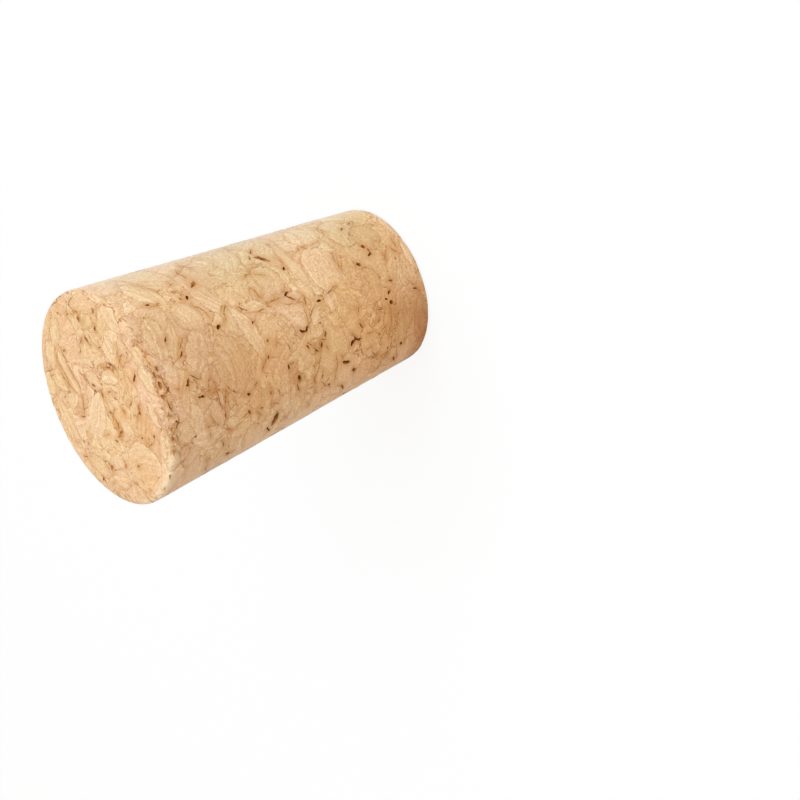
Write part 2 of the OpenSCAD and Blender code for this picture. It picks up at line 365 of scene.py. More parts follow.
# Granules that show at the front. On the wall: the angle from the front in degrees and the
# height in mm, the turn from level in degrees, the length, width and bend in mm, then the tone
# from dark to pale and the hue from pink to yellow
WALL_GRANULES = (
    (18.5, 32.8, -8, 4.8, 2.6, 0.0, 0.5, 0.5),
    (14.0, 31.3, -26, 4.8, 1.4, 0.0, 0.4, 0.45),
    (47.0, 30.6, 22, 5.5, 2.6, 0.2, 0.65, 0.6),
    (22.5, 28.3, 15, 4.2, 2.9, 0.0, 0.7, 0.7),
    (4.0, 29.4, -25, 4.8, 2.6, 0.0, 0.35, 0.05),
    (-4.2, 30.8, 32, 2.7, 0.7, 0.1, 0.75, 0.4),
    (-28.0, 31.7, 5, 3.4, 1.7, 0.0, 0.55, 0.35),
    (-31.0, 29.0, 10, 3.6, 1.8, 0.0, 0.8, 0.4),
    (-42.0, 30.2, 75, 5.0, 2.2, 0.0, 0.85, 0.4),
    (-9.0, 26.0, 5, 6.0, 4.2, 0.0, 0.2, 0.35),
    (-23.0, 28.35, 18, 3.0, 0.55, 0.15, 1.0, 0.5),
    (-40.3, 27.3, 20, 1.7, 1.4, 0.0, 1.0, 0.95),
    (12.0, 23.9, 0, 3.6, 2.4, 0.0, 0.6, 0.6),
    (3.0, 22.6, 11, 7.0, 1.9, -0.4, 0.75, 0.6),
    (-60.0, 24.3, 5, 4.0, 2.6, 0.0, 0.4, 0.2),
    (40.0, 21.0, 40, 4.0, 2.6, 0.0, 0.75, 0.8),
    (27.0, 18.0, -12, 4.6, 3.6, 0.0, 0.55, 0.35),
    (32.0, 21.0, -8, 4.4, 1.8, 0.2, 0.65, 0.9),
    (14.8, 20.7, 68, 4.4, 1.3, -0.3, 1.0, 0.8),
    (55.0, 19.5, -20, 5.0, 3.0, 0.0, 0.7, 0.5),
    (-8.5, 19.6, 60, 1.2, 0.5, 0.0, 0.95, 0.5),
    (-19.5, 15.9, 30, 1.7, 1.4, 0.0, 0.3, 0.6),
    (-2.0, 14.7, -20, 2.8, 1.0, 0.0, 0.9, 0.4),
    (12.8, 16.8, 80, 3.2, 1.4, 0.2, 0.85, 0.25),
    (14.0, 14.4, 0, 2.6, 1.8, 0.0, 0.4, 0.6),
    (3.0, 12.1, 0, 2.8, 1.8, 0.0, 0.8, 0.3),
    (-34.0, 8.6, 20, 4.0, 2.6, 0.0, 0.75, 0.4),
    (40.0, 9.6, 0, 4.0, 2.6, 0.0, 0.75, 0.5),
    (33.0, 13.9, 2, 8.5, 1.4, 0.3, 0.8, 0.6),
    (25.0, 11.0, -12, 5.6, 4.2, 0.0, 0.4, 0.3),
    (23.5, 9.2, -20, 4.4, 0.5, 0.3, 1.0, 0.6),
    (55.0, 10.0, -10, 5.0, 3.4, 0.0, 0.9, 0.6),
    (48.0, 6.0, 0, 5.0, 3.6, 0.0, 0.85, 0.5),
    (-57.0, 9.3, 0, 4.0, 2.6, 0.0, 0.35, 0.1),
    (17.0, 8.2, -20, 3.2, 1.6, 0.0, 0.1, 0.35),
    (2.0, 6.6, 0, 3.6, 2.4, 0.0, 0.35, 0.5),
    (-26.0, 5.9, 0, 3.2, 1.1, 0.0, 0.5, 0.5),
    (36.0, 4.0, 0, 4.0, 3.0, 0.0, 0.45, 0.4),
    (23.5, 3.3, 0, 1.9, 1.1, 0.0, 0.1, 0.9),
    (-28.0, 3.3, -10, 4.2, 1.6, 0.0, 0.35, 0.5),
    (2.5, 1.5, 0, 3.4, 1.8, 0.0, 0.35, 0.45),
    (40.0, 0.4, 0, 8.0, 1.4, 0.0, 1.0, 0.5),
    (12.0, 0.5, 0, 4.0, 1.4, 0.0, 0.9, 0.5),
    (-40.0, 4.2, 0, 6.0, 1.6, 0.0, 0.55, 0.6),
    (-60.0, 2.4, 0, 4.6, 3.6, 0.0, 0.5, 0.5),
    (-36.0, 1.3, 0, 6.4, 2.2, 0.0, 0.3, 0.1),
    (-41.0, 1.1, 0, 2.6, 0.9, 0.0, 0.5, 0.0),
)

# The same on the large end, by their place in mm to the right and up from its centre
END_GRANULES = (
    (-0.5, 9.0, 5, 5.0, 2.4, 0.0, 0.4, 0.4),
    (-6.0, 6.3, 45, 4.0, 2.4, 0.0, 0.35, 0.5),
    (8.0, 4.2, -50, 3.6, 1.8, 0.0, 0.8, 0.9),
    (6.2, 6.8, -40, 3.2, 2.0, 0.0, 0.8, 0.8),
    (2.0, 0.6, 60, 3.2, 1.9, 0.0, 0.9, 0.5),
    (3.6, 5.0, 12, 5.4, 2.0, 0.3, 0.55, 0.6),
    (-1.3, 2.8, -48, 6.6, 3.0, 0.0, 0.95, 0.5),
    (-8.0, 3.2, 70, 3.4, 2.2, 0.0, 0.5, 0.4),
    (-3.65, -0.4, -65, 1.7, 0.8, 0.0, 0.25, 0.9),
    (9.3, -3.2, 75, 5.6, 2.2, 0.0, 0.3, 0.3),
    (-7.3, -2.3, 80, 6.0, 4.4, 0.0, 0.6, 0.5),
    (1.7, -2.6, 70, 3.4, 1.6, 0.0, 0.9, 0.6),
    (-3.8, -3.2, 30, 1.4, 1.0, 0.0, 0.3, 0.8),
    (4.6, -5.2, 0, 2.0, 1.4, 0.0, 0.9, 0.5),
    (0.5, -5.6, -15, 3.0, 1.0, 0.0, 0.3, 0.3),
    (-6.8, -7.6, -30, 4.5, 2.4, 0.0, 0.6, 0.45),
    (6.8, -7.3, 30, 3.6, 2.2, 0.0, 0.6, 0.4),
    (-3.2, -8.0, 10, 3.0, 1.4, 0.0, 0.75, 0.5),
    (2.4, -9.7, 20, 2.8, 1.8, 0.0, 0.85, 0.5),
    (0.2, -9.6, 20, 3.4, 2.2, 0.0, 0.95, 0.7),
)


def wall_frame(angle, height):
    """A place on the wall in mm, with its level and its upward direction along the wall."""
    a = math.radians(angle)
    out = Vector((math.sin(a), -math.cos(a), 0))
    up = out * math.sin(TAPER) + Vector((0, 0, math.cos(TAPER)))
    radius = (SMALL_R + SLOPE * height * MM) / MM
    return out * radius + Vector((0, 0, height)), Vector((math.cos(a), math.sin(a), 0)), up


def end_frame(x, y):
    """A place on the large end in mm, with the directions to the right and up on it."""
    return Vector((x, y, LENGTH / MM)), Vector((1, 0, 0)), Vector((0, 1, 0))


def placed(wall_rows, end_rows):
    """Rows for the wall and for the large end: place, level direction, upward one, and the rest."""
    for place_of, rows in ((wall_frame, wall_rows), (end_frame, end_rows)):
        for row in rows:
            yield (*place_of(*row[:2]), *row[2:])


def turned(level, up, turn):
    """Directions along, across and out of what lies on a surface, turned from level in degrees."""
    along = level * math.cos(math.radians(turn)) + up * math.sin(math.radians(turn))
    out = level.cross(up)
    return along, out.cross(along), out


def chosen_places():
    """The sockets of each chosen granule."""
    rows = placed(WALL_GRANULES, END_GRANULES)
    # Long ones are pointed, and chance comes from the place.
    for centre, level, up, turn, long, wide, bend, tone, hue in rows:
        along, across, out = turned(level, up, turn)
        yield {
            "Centre": centre,
            "Along": along / (long / 2),
            "Across": across / (wide / 2),
            "Out": out / CHOSEN_DEPTH,
            "Width": wide / 2,
            "Bend": bend / (wide / 2),
            "Point": min(2.0, 0.4 * long / wide - 0.4),
            "New Tone": (1.3 * tone - 0.15, centre.x % 1, hue),
        }


def out_and_up(tree, place):
    """How far out from the axis and how far up a place lies."""
    level = add(tree, VECTOR_MATH, (place, (1.0, 1.0, 0.0)), "MULTIPLY")
    up = add(tree, SEPARATE, (place,)).outputs["Z"]
    return add(tree, VECTOR_MATH, (level,), "LENGTH"), up


def depth_below(tree, place, edge_r):
    """Depth below the ground cone, its ends and its rounded edges, at a place in mm."""
    out, up = out_and_up(tree, place)
    wall = add(tree, MATH, (up, -SLOPE, edge_r - SMALL_R / MM), "MULTIPLY_ADD")
    wall = add(tree, MATH, (wall, out), "ADD")
    end = add(tree, MATH, (up, HALF), "SUBTRACT")
    end = add(tree, MATH, (end,), "ABSOLUTE")
    end = add(tree, MATH, (end, HALF - edge_r), "SUBTRACT")
    both = add(tree, "ShaderNodeCombineXYZ", (wall, end))
    both = add(tree, VECTOR_MATH, (both, (0, 0, 0)), "MAXIMUM")
    both = add(tree, VECTOR_MATH, (both,), "LENGTH")
    return add(tree, MATH, (edge_r, both), "SUBTRACT")


def rim_reach(tree, place):
    """How far out and up a place lies, in mm: greatest at the large end's edge."""
    return add(tree, MATH, out_and_up(tree, place), "ADD")


# Where the large end's edge has crumbled, and where it is pale with dust and with a painted
# highlight
# on its rounding: how far in mm that begins and is full, the angle where it is greatest and the
# share elsewhere
CRUMBLED = (1.7, 0.7, -13, 0.03)
DUST_AND_PAINTED_HIGHLIGHT = (1.0, 0.4, -58, 0.15)


def near_rim(tree, place, far, near, angle, least):
    """1 at the large end's edge, at an angle from the front, to 0 some mm from that edge.

    Away from that angle it falls to the least share.
    """
    edge = add(tree, MAP_RANGE, (rim_reach(tree, place), RIM - far, RIM - near))
    facing = add(tree, VECTOR_MATH, (place, (1.0, 1.0, 0.0)), "MULTIPLY")
    facing = add(tree, VECTOR_MATH, (facing,), "NORMALIZE")
    away = math.radians(angle)
    facing = add(tree, VECTOR_MATH, (facing, (math.sin(away), -math.cos(away), 0.0)), "DOT_PRODUCT")
    share = add(tree, MAP_RANGE, (facing, 0.72, 0.92, least))
    return add(tree, MATH, (edge, share), "MULTIPLY")


def rim_flakes(tree, place):
    """A place on the skin for flakes about a millimetre wide, longer along the large end's edge."""
    axes = add(tree, SEPARATE, (warped(tree, place, FRAY),)).outputs
    back = add(tree, MATH, (axes["Y"], -1.0), "MULTIPLY")
    turn = add(tree, MATH, (axes["X"], back), "ARCTAN2")
    flat = add(tree, "ShaderNodeCombineXYZ", (turn, rim_reach(tree, place)))
    return add(tree, VECTOR_MATH, (flat, (0.5 * LARGE_R / MM, 1.3, 0.0)), "MULTIPLY")


# The groove round a granule: its width in mm, and its depth as a share of the relief
GROOVE_WIDTH = 0.15
GROOVE_DEPTH = 0.35

# How deep the large end's edge has crumbled, and how deep the saw marks on that end are
CRUMBS_DEPTH = 0.26 * MM
SAWN_DEPTH = 0.12 * MM


def relief_tree(depth):
    """Geometry nodes that raise and lower each granule, and open a groove round it."""
    tree, piece, place = modifier_tree("Granule relief")
    cork = granules(tree, place, chosen_granules(tree, place))
    lightness = add(tree, SEPARATE, (cork["tone"],)).outputs["X"]
    level = add(tree, MATH, (lightness, 0.5), "SUBTRACT")
    groove = (cork["edge"], 0.0, GROOVE_WIDTH, -GROOVE_DEPTH, 0.0)
    groove = add(tree, MAP_RANGE, groove, interpolation_type="SMOOTHSTEP")
    height = add(tree, MATH, (level, groove), "ADD")
    height = add(tree, MATH, (height, depth), "MULTIPLY")
    # The edge of the large end has crumbled, flake by flake.
    flake = add(tree, VORONOI, {"Vector": rim_flakes(tree, place), "Scale": 1.0})
    flake = add(tree, SEPARATE, (flake.outputs["Color"],))
    lumps = add(tree, NOISE, {"Vector": place, **LUMPS})
    lost = add(tree, MATH, (flake, 0.5, lumps), "MULTIPLY_ADD")
    crumbs = add(tree, MAP_RANGE, (lost, 0.6, 1.0, 0.0, -CRUMBS_DEPTH))
    # The large end is sawn, and rougher than the ground wall.
    up = add(tree, SEPARATE, (place,)).outputs["Z"]
    end = add(tree, MAP_RANGE, (up, LENGTH / MM - 0.2, LENGTH / MM - 0.05))
    sawn = add(tree, MAP_RANGE, (lumps, 0.3, 0.7, 0.0, -SAWN_DEPTH))
    for where, lowered in ((near_rim(tree, place, *CRUMBLED), crumbs), (end, sawn)):
        height = add(tree, MATH, (where, lowered, height), "MULTIPLY_ADD")
    normal = add(tree, "GeometryNodeInputNormal")
    offset = add(tree, VECTOR_MATH, {0: normal, "Scale": height}, "SCALE")
    moved = add(tree, "GeometryNodeSetPosition", {"Geometry": piece, "Offset": offset})
    add(tree, "NodeGroupOutput", (moved,))
    return tree


# Stained patches and patches of painted shade: some are stains, others paint shade where the cork
# should look darker, and those at 66 to 68 degrees take a little red from the lit upper side,
# painting the cooler look of its light. On the wall: the angle from the front in degrees, the
# height and the radius in mm, and the colour that multiplies the cork's
WALL_STAINS_AND_PAINTED_SHADE = (
    (-44, 0.2, 3.2, "#f2e2cf"),
    (-56, 0.2, 3.4, "#eddcc6"),
    (-69, 0.4, 3.2, "#eedcc6"),
    (-25, 2.0, 4.0, "#e6d8c8"),
    (-25, 24.0, 6.0, "#fff8ee"),
    (-12, 8.0, 6.0, "#f9efe2"),
    (-30, 4.0, 3.5, "#f6eee2"),
    (-55, 6.0, 6.0, "#f9efe2"),
    (-35, 12.0, 8.0, "#fffaf0"),
    (-19.5, 15.5, 1.6, "#e8e2dc"),
    (24, 5.0, 6.5, "#f1e9de"),
    (-8, 27.0, 6.0, "#f1ebe6"),
    (-20, 20.0, 5.0, "#f9f3e9"),
    (-10, 33.5, 2.5, "#fdf4ec"),
    (25, 19.0, 4.0, "#f6f1ea"),
    (20, 31.0, 5.0, "#f3efeb"),
    (42, 24.5, 4.5, "#f1ebe4"),
    (68, 6.0, 8.0, "#f6fffc"),
    (66, 18.0, 9.0, "#f4fffc"),
    (66, 29.0, 6.0, "#f8fffc"),
)

# The same on the large end: to the right and up from its centre
END_STAINS_AND_PAINTED_SHADE = (
    (-2.8, -0.2, 1.2, "#f4dcb8"),
    (-2.2, -2.2, 1.5, "#f8ead8"),
    (-4.0, -5.5, 2.5, "#faf0e2"),
    (1.0, -6.0, 3.0, "#fbf1e6"),
    (-9.0, -2.0, 3.5, "#fbf3e8"),
)


# What is stored on each point of the stopper, and the output of the node that reads it
MARKS = {
    "gap": "Fac",
    "tone": "Vector",
    "ring": "Fac",
    "crevice": "Fac",
    "stain": "Vector",
    "crumbled": "Fac",
    "dusted": "Fac",
}


def marks_tree(cutters):
    """Geometry nodes that store the chosen granules, stains and painted shade, and how far crevices
    are.
    """
    tree, marked, place = modifier_tree("Marks")
    marks = chosen_granules(tree, place)
    reach = []
    for cutter in cutters:
        shape = add(tree, "GeometryNodeObjectInfo", {"Object": cutter}).outputs["Geometry"]
        nearest = add(tree, "GeometryNodeProximity", (shape,), target_element="FACES")
        nearest = (nearest.outputs["Distance"], 1 / MM)
        reach.append(add(tree, MATH, nearest, "MULTIPLY"))
    marks["crevice"] = add(tree, MATH, reach, "MINIMUM")
    bent = warped(tree, place, RUN)
    stain = white = (1.0, 1.0, 1.0)
    # Each patch, a stain or painted shade, multiplies the colour it covers.
    for centre, _, _, radius, colour in placed(WALL_STAINS_AND_PAINTED_SHADE, END_STAINS_AND_PAINTED_SHADE):
        away = add(tree, VECTOR_MATH, (bent, centre), "DISTANCE")
        here = add(tree, MAP_RANGE, (away, radius, 0.3 * radius), interpolation_type="SMOOTHSTEP")
        tint = {"Factor": here, "A": white, "B": linear(colour)[:3]}
        tint = add(tree, MIX, tint, data_type="VECTOR")
        stain = add(tree, VECTOR_MATH, (stain, tint), "MULTIPLY")
    marks["stain"] = stain
    marks["crumbled"] = near_rim(tree, place, *CRUMBLED)
    # Pale dust, with a painted highlight, along the large end's edge
    marks["dusted"] = near_rim(tree, place, *DUST_AND_PAINTED_HIGHLIGHT)
    for name, output in MARKS.items():
        marked = add(
            tree,
            "GeometryNodeStoreNamedAttribute",
            {"Geometry": marked, "Name": name, "Value": marks[name]},
            data_type="FLOAT_VECTOR" if output == "Vector" else "FLOAT",
            domain="POINT",
        )
    add(tree, "NodeGroupOutput", (marked,))
    return tree


# How much darker or paler than the middle tone, in red, green and blue, granules get
TONE_SPREAD = (0.07, 0.14, 0.27)


def paint_ramp(ramp, tones):
    """Gives a colour ramp its evenly spaced colours."""
    stops = ramp.color_ramp.elements
    while len(stops) < len(tones):
        stops.new(0.5)
    for i, (stop, colour) in enumerate(zip(stops, tones)):
        stop.position = i / (len(tones) - 1)
        stop.color = colour


def cork_material(sizes, colours):
    """Agglomerated cork, ground: matt, warm granules of a few tones with darker crevices, whose
    walls also get painted shade by depth.
    """
    material = bpy.data.materials.new("agglomerated_cork_ground")
    tree = empty_tree(material)
    place = add(tree, "ShaderNodeTexCoord").outputs["Object"]
    place = add(tree, VECTOR_MATH, {0: place, "Scale": 1 / MM}, "SCALE")
    marks = {
        name: add(tree, "ShaderNodeAttribute", attribute_name=name).outputs[output]
        for name, output in MARKS.items()
    }
    cork = {"place": place, **marks, **granules(tree, place, marks)}
    cork["fine"] = add(tree, NOISE, {"Vector": place, **FINE})
    cork["patches"] = add(tree, NOISE, {"Vector": place, **PATCHES})
    # The granules' edges, ragged
    ragged = add(tree, MATH, (cork["fine"], 0.22, -0.11), "MULTIPLY_ADD")
    cork["ragged"] = add(tree, MATH, (ragged, cork["edge"]), "ADD")
    # Growth rings, each granule's own
    start = add(tree, SEPARATE, (cork["tone"],)).outputs["Y"]
    start = add(tree, MATH, (start, 70.0), "MULTIPLY")
    start = add(tree, MATH, (cork["edge"], 0.5, start), "MULTIPLY_ADD")
    across = add(tree, MATH, (cork["ring"], RINGS, start), "MULTIPLY_ADD")
    rings = {"W": across, "Scale": 1.0, "Detail": 3.0, "Roughness": 0.8}
    rings = add(tree, NOISE, rings, noise_dimensions="1D")
    cork["across"], cork["rings"] = across, rings
    colour = granule_colour(tree, cork, colours)
    # Stains and patches of painted shade multiply the granules' colour.
    colour = add(tree, VECTOR_MATH, (colour, cork["stain"]), "MULTIPLY")
    hairline, split = seam_lines(tree, cork)
    split = add(tree, MATH, (split, flake_lines(tree, cork)), "MAXIMUM")
    rim, pit = pits(tree, cork)
    halo, sunk, shade = crevice_walls(tree, cork, sizes.edge_r / MM, colours)
    for share, over in (
        # Pale dust, and a painted highlight on the large end's edge
        (add(tree, MATH, (cork["dusted"], 0.95), "MULTIPLY"), colours.dust_and_highlight),
        (mottled(tree, cork), colours.mottle),
        (hairline, colours.hairline),
        # Open cracks with no relief: their dark is partly painted shade.
        (split, colours.crevice),
        (bark_specks(tree, cork), colours.hairline),
        (rim, colours.rust),
        # Pits with no relief: their dark bottoms are partly painted shade.
        (pit, colours.crevice),
        (halo, colours.rust),
        # Crevice walls, darker with depth: partly painted shade.
        (sunk, shade),
    ):
        colour = {"Factor": share, "A": colour, "B": over}
        colour = add(tree, MIX, colour, data_type="RGBA")
    # The same rings, grain and hairlines in relief, in mm
    ridges = add(tree, MAP_RANGE, (cork["edge"], 0.0, 0.2, 0.0, 0.045))
    height = add(tree, MATH, (rings, ridges), "MULTIPLY")
    for part, tall in ((cork["fine"], 0.05), (hairline, -0.02)):
        height = add(tree, MATH, (part, tall, height), "MULTIPLY_ADD")
    rough = add(tree, "ShaderNodeBump", {"Height": height, "Distance": MM, "Strength": 1.0})
    # Grinding dust makes the surface paler at a grazing angle.
    surface = add(
        tree,
        "ShaderNodeBsdfPrincipled",
        {
            "Base Color": colour,
            "Roughness": 0.85,
            "Specular IOR Level": 0.2,
            "Sheen Weight": 0.55,
            "Sheen Roughness": 0.3,
            "Sheen Tint": linear("#eef4fa"),
            "Normal": rough,
        },
    )
    add(tree, "ShaderNodeOutputMaterial", (surface,))
    return material


def granule_colour(tree, cork, colours):
    """The granules' colour: each has its tone, dapples, darker or paler edge, and rings."""
    lightness, chance, yellowness = add(tree, SEPARATE, (cork["tone"],)).outputs
    # Dapples of half a millimetre, in lightness and in hue
    dapples = add(tree, NOISE, {"Vector": cork["flat"], **DAPPLES}).outputs["Color"]
    light_dapple, hue_dapple, gate = add(tree, SEPARATE, (dapples,)).outputs
    light = add(tree, MATH, (lightness, 0.38, -0.19), "MULTIPLY_ADD")
    light = add(tree, MATH, (light_dapple, 1.0, light), "MULTIPLY_ADD", use_clamp=True)
    # Each granule is paler and yellower, or darker and pinker, towards its edge.
    tipped = add(tree, MATH, (chance, 0.2, 0.9), "MULTIPLY_ADD")
    border = (cork["edge"], 0.0, 0.7, tipped, 1.0)
    border = add(tree, MAP_RANGE, border, interpolation_type="SMOOTHSTEP")
    drift = add(tree, NOISE, {"Vector": cork["place"], **DRIFT})
    hue = add(tree, MATH, (yellowness, 0.6, -0.15), "MULTIPLY_ADD")
    for part, weight in ((hue_dapple, 0.8), (border, 1.5), (drift, 0.9)):
        hue = add(tree, MATH, (part, weight, hue), "MULTIPLY_ADD")
    hue = add(tree, MATH, (hue, -1.95), "ADD", use_clamp=True)
    ramps = []
    for middle in (colours.pink, colours.yellow):
        ramps.append(add(tree, "ShaderNodeValToRGB", (light,)))
        tones = (
            [c * (1 + way * part) for c, part in zip(middle, TONE_SPREAD)] + [1.0]
            for way in (-1, 0, 1)
        )
        paint_ramp(ramps[-1], list(tones))
    body = {"Factor": hue, "A": ramps[0], "B": ramps[1]}
    body = add(tree, MIX, body, data_type="RGBA")
    # The rings show as broken streaks.
    streak = add(tree, MAP_RANGE, (cork["rings"], 0.3, 0.7, -0.13, 0.1))
    gate = add(tree, MAP_RANGE, (gate, 0.36, 0.62, 0.0, 1.8))
    tone = add(tree, MATH, (streak, gate, 1.0), "MULTIPLY_ADD")
    fine = add(tree, MAP_RANGE, (cork["fine"], 0.25, 0.75, 0.8, 1.19))
    for part in (fine, border):
        tone = add(tree, MATH, (tone, part), "MULTIPLY")
    # Where it is darker it is browner as well.
    deeper = add(tree, MATH, (tone, -1.0, 2.0), "MULTIPLY_ADD")
    toned = add(tree, "ShaderNodeGamma", (body, deeper))
    dimmer = add(tree, MATH, (tone, 0.6, 0.4), "MULTIPLY_ADD")
    return add(tree, VECTOR_MATH, {0: toned, "Scale": dimmer}, "SCALE")


def mottled(tree, cork):
    """The share of redder patches a few millimetres across."""
    mottle = add(tree, NOISE, {"Vector": cork["flat"], **MOTTLE})
    return add(tree, MAP_RANGE, (mottle, 0.52, 0.75, 0.0, 0.28))


def seam_lines(tree, cork):
    """The shares of hairlines and of open cracks, each only in places."""
    areas = add(tree, NOISE, {"Vector": cork["place"], **AREAS})
    busy = add(tree, MATH, (areas, 0.5, -0.25), "MULTIPLY_ADD")
    # Seams between granules
    shown = add(tree, MATH, (cork["patches"], busy), "ADD")
    shown = add(tree, MAP_RANGE, (shown, 0.53, 0.72, 0.0, 0.36))
    seam = add(tree, MAP_RANGE, (cork["ragged"], 0.01, 0.08, 1.0, 0.0))
    seam = add(tree, MATH, (seam, shown), "MULTIPLY")
    blurred = add(tree, MAP_RANGE, (cork["ragged"], 0.0, 0.3, 0.08, 0.0))
    seam = add(tree, MATH, (seam, blurred), "MAXIMUM")
    # Single dark rings
    turns = add(tree, MATH, (cork["across"], DARK_RINGS), "MULTIPLY")
    turns = add(tree, MATH, (turns,), "FRACT")
    turns = add(tree, MATH, (turns, 0.5), "SUBTRACT")
    turns = add(tree, MATH, (turns,), "ABSOLUTE")
    line = add(tree, MAP_RANGE, (turns, 0.02, 0.08, 1.0, 0.0))
    shown = add(tree, MAP_RANGE, (cork["patches"], 0.46, 0.32, 0.0, 0.4))
    line = add(tree, MATH, (line, shown), "MULTIPLY")
    hairline = add(tree, MATH, (seam, line), "MAXIMUM")
    # Short open cracks along the seams, more of them beside crevices: they have no relief, and
    # their dark is partly painted shade
    torn = add(tree, SEPARATE, (cork["patches"].outputs["Color"],)).outputs["Y"]
    beside = add(tree, MAP_RANGE, (cork["crevice"], 0.3, 1.4, 0.12, 0.0))
    for more in (busy, beside):
        torn = add(tree, MATH, (torn, more), "ADD")
    torn = add(tree, MAP_RANGE, (torn, 0.59, 0.66, 0.0, 0.75))
    split = add(tree, MAP_RANGE, (cork["ragged"], 0.0, 0.06, 1.0, 0.0))
    split = add(tree, MATH, (split, torn), "MULTIPLY")
    # The sawn ends show their seams more than the ground wall does.
    up = add(tree, SEPARATE, (cork["place"],)).outputs["Z"]
    up = add(tree, MATH, (up, HALF), "SUBTRACT")
    up = add(tree, MATH, (up,), "ABSOLUTE")
    sawn = add(tree, MAP_RANGE, (up, HALF - 0.5, HALF - 0.3, 0.7, 1.05))
    return [add(tree, MATH, (lines, sawn), "MULTIPLY") for lines in (hairline, split)]


def flake_lines(tree, cork):
    """The share of brown lines between the flakes of the crumbled edge."""
    flake = {"Vector": rim_flakes(tree, cork["place"]), "Scale": 1.0}
    flake = add(tree, VORONOI, flake, feature="DISTANCE_TO_EDGE")
    flake = add(tree, MATH, (cork["fine"], 0.4, flake), "MULTIPLY_ADD")
    flake = add(tree, MAP_RANGE, (flake, 0.2, 0.3, 0.7, 0.0))
    shown = add(tree, SEPARATE, (cork["patches"].outputs["Color"],)).outputs["X"]
    shown = add(tree, MAP_RANGE, (shown, 0.4, 0.5))
    for share in (cork["crumbled"], shown):
        flake = add(tree, MATH, (flake, share), "MULTIPLY")
    return flake


def bark_specks(tree, cork):
    """The share of small dark specks of bark crust."""
    crust = add(tree, VORONOI, {"Vector": cork["flat"], "Scale": 0.95})
    size = add(tree, SEPARATE, (crust.outputs["Color"],)).outputs["X"]
    size = add(tree, MAP_RANGE, (size, 0.9, 1.0, 0.0, 0.2))
    speck = add(tree, MATH, (size, crust), "SUBTRACT")
    return add(tree, MAP_RANGE, (speck, 0.0, 0.06, 0.0, 0.8))


def pits(tree, cork):
    """The shares of rusty rims and of dark bottoms of small pits where granules meet; the pits have
    no relief, so their dark bottoms are partly painted shade.
    """
    pit = add(tree, MAP_RANGE, (cork["patches"], 0.64, 0.76, 0.0, 0.2))
    pit = add(tree, MATH, (pit, cork["ragged"]), "SUBTRACT")
    rim = add(tree, MAP_RANGE, (pit, -0.1, 0.05, 0.0, 0.5))
    # The dark bottoms are painted shade as well as darker cork.
    return rim, add(tree, MAP_RANGE, (pit, 0.02, 0.12, 0.0, 0.85))


def crevice_walls(tree, cork, edge_r, colours):
    """The share of rust round crevices, and the share and the colour of their own walls, which hold
    painted shade.
    """
    # There is less of it along the large end's edge, apart from where that has crumbled.
    inner = add(tree, MAP_RANGE, (rim_reach(tree, cork["place"]), RIM - 2.2, RIM - 1.2, 1.0, 0.25))
    kept = add(tree, MATH, (inner, cork["crumbled"]), "MAXIMUM")
    halo = add(tree, MAP_RANGE, (cork["crevice"], 0.0, 0.6, 0.8, 0.0))
    broken = add(tree, MAP_RANGE, (cork["fine"], 0.4, 0.6))
    for share in (broken, kept):
        halo = add(tree, MATH, (halo, share), "MULTIPLY")
    # The walls darken with depth: partly the cork's own darker colour, partly painted shade.
    depth = depth_below(tree, cork["place"], edge_r)
    uneven = add(tree, MATH, (cork["fine"], 0.6, -0.3), "MULTIPLY_ADD")
    uneven = add(tree, MATH, (uneven, depth), "ADD")
    deep = add(tree, MAP_RANGE, (uneven, 0.08, 0.65))
    shade = add(tree, "ShaderNodeValToRGB", (deep,))
    middle = [(a + b) / 2 for a, b in zip(colours.rust, colours.crevice)]
    paint_ramp(shade, (colours.rust, middle, colours.crevice, colours.crevice))
    sunk = add(tree, MAP_RANGE, (depth, 0.14, 0.24))
    sunk = add(tree, MATH, (sunk, inner), "MULTIPLY")
    shallow = add(tree, MAP_RANGE, (cork["crevice"], 0.035, 0.0, 0.0, 0.6))
    shallow = add(tree, MATH, (shallow, kept), "MULTIPLY")
    return halo, add(tree, MATH, (sunk, shallow), "MAXIMUM"), shade


def ground_cone(edge_r):
    """A cone at its real size, standing on its small end, with both edges rounded."""
    bpy.ops.mesh.primitive_cone_add(
        vertices=256,
        radius1=SMALL_R,
        radius2=LARGE_R,
        depth=LENGTH,
        location=(0, 0, LENGTH / 2),
    )
    piece = bpy.context.object
    bpy.ops.object.transform_apply(location=True)
    bpy.ops.object.mode_set(mode="EDIT")
    bpy.ops.mesh.select_all(action="DESELECT")
    bpy.ops.object.mode_set(mode="OBJECT")
    heights = [v.co.z for v in piece.data.vertices]
    for edge in piece.data.edges:
        a, b = (heights[i] for i in edge.vertices)
        edge.select = abs(a - b) < 0.1 * MM
    bpy.ops.object.mode_set(mode="EDIT")
    bpy.ops.mesh.bevel(offset=edge_r, offset_type="OFFSET", segments=6)
    bpy.ops.object.mode_set(mode="OBJECT")
    return piece


def ragged_tree(warps):
    """Geometry nodes that move a cutter's points by noise, so that its edges come out torn."""
    tree, cutter, place = modifier_tree("Torn edges")
    torn = add(tree, VECTOR_MATH, {0: warped(tree, place, warps), "Scale": MM}, "SCALE")
    moved = add(tree, "GeometryNodeSetPosition", {"Geometry": cutter, "Position": torn})
    add(tree, "NodeGroupOutput", (moved,))
    return tree


# What counts as the CAD model's ground skin: how deep it lies at most, and how far in degrees it
# leans from the cone, an end or a rounded edge
SKIN_DEPTH = 0.06 * MM
SKIN_LEAN = 25


